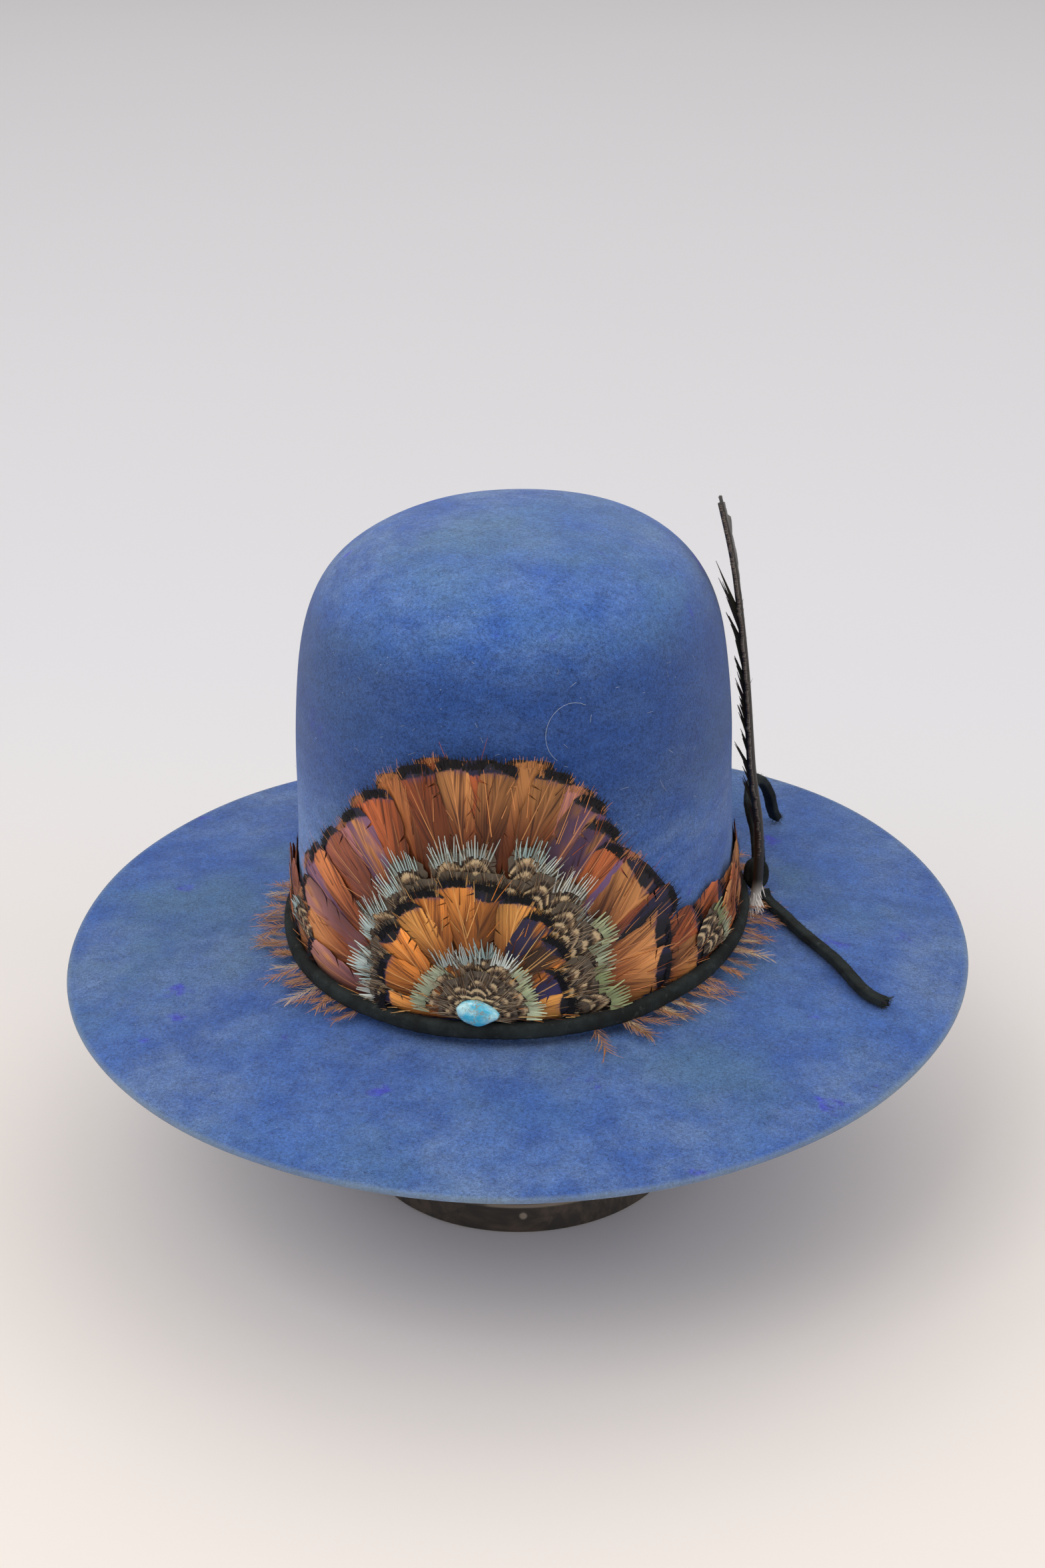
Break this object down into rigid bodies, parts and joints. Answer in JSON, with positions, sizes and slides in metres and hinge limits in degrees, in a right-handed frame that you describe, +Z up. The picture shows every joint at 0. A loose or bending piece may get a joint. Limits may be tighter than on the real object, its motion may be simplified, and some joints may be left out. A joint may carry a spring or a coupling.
{
  "type": "felt hat on a wooden stand",
  "caption": "Wide-brimmed felt hat with a feather fan band, a knotted lace with loose ends and a standing side feather, resting on a plain turned wooden stand.",
  "frame": {"origin": "on the floor, in the middle of the stand's foot", "axes": "-Y is the hat's front, +X the wearer's left, +Z up"},
  "size_m": [0.3612, 0.3756, 0.2885],
  "materials": {
    "felt": "matt felt, dyed in mottled blues",
    "feathers": "satin, rust and grey barred feathers with black tips",
    "dark_feather": "satin, brown-black with a white quill foot",
    "lace": "matt suede, green-black",
    "stone": "polished, blue with brown veins",
    "stand_wood": "dark stain, worn at the edge"
  },
  "bodies": {
    "root": {"felt_body": "felt", "feather_band": "feathers", "feather_fan": "feathers", "hat_cord": "lace", "cord_knot": "lace", "cord_tail_front": "lace", "cord_tail_back": "lace", "turquoise_nugget": "stone", "side_feather": "dark_feather", "stand_base": "stand_wood", "stand_post": "stand_wood", "stand_top": "stand_wood"}
  },
  "joints": []
}
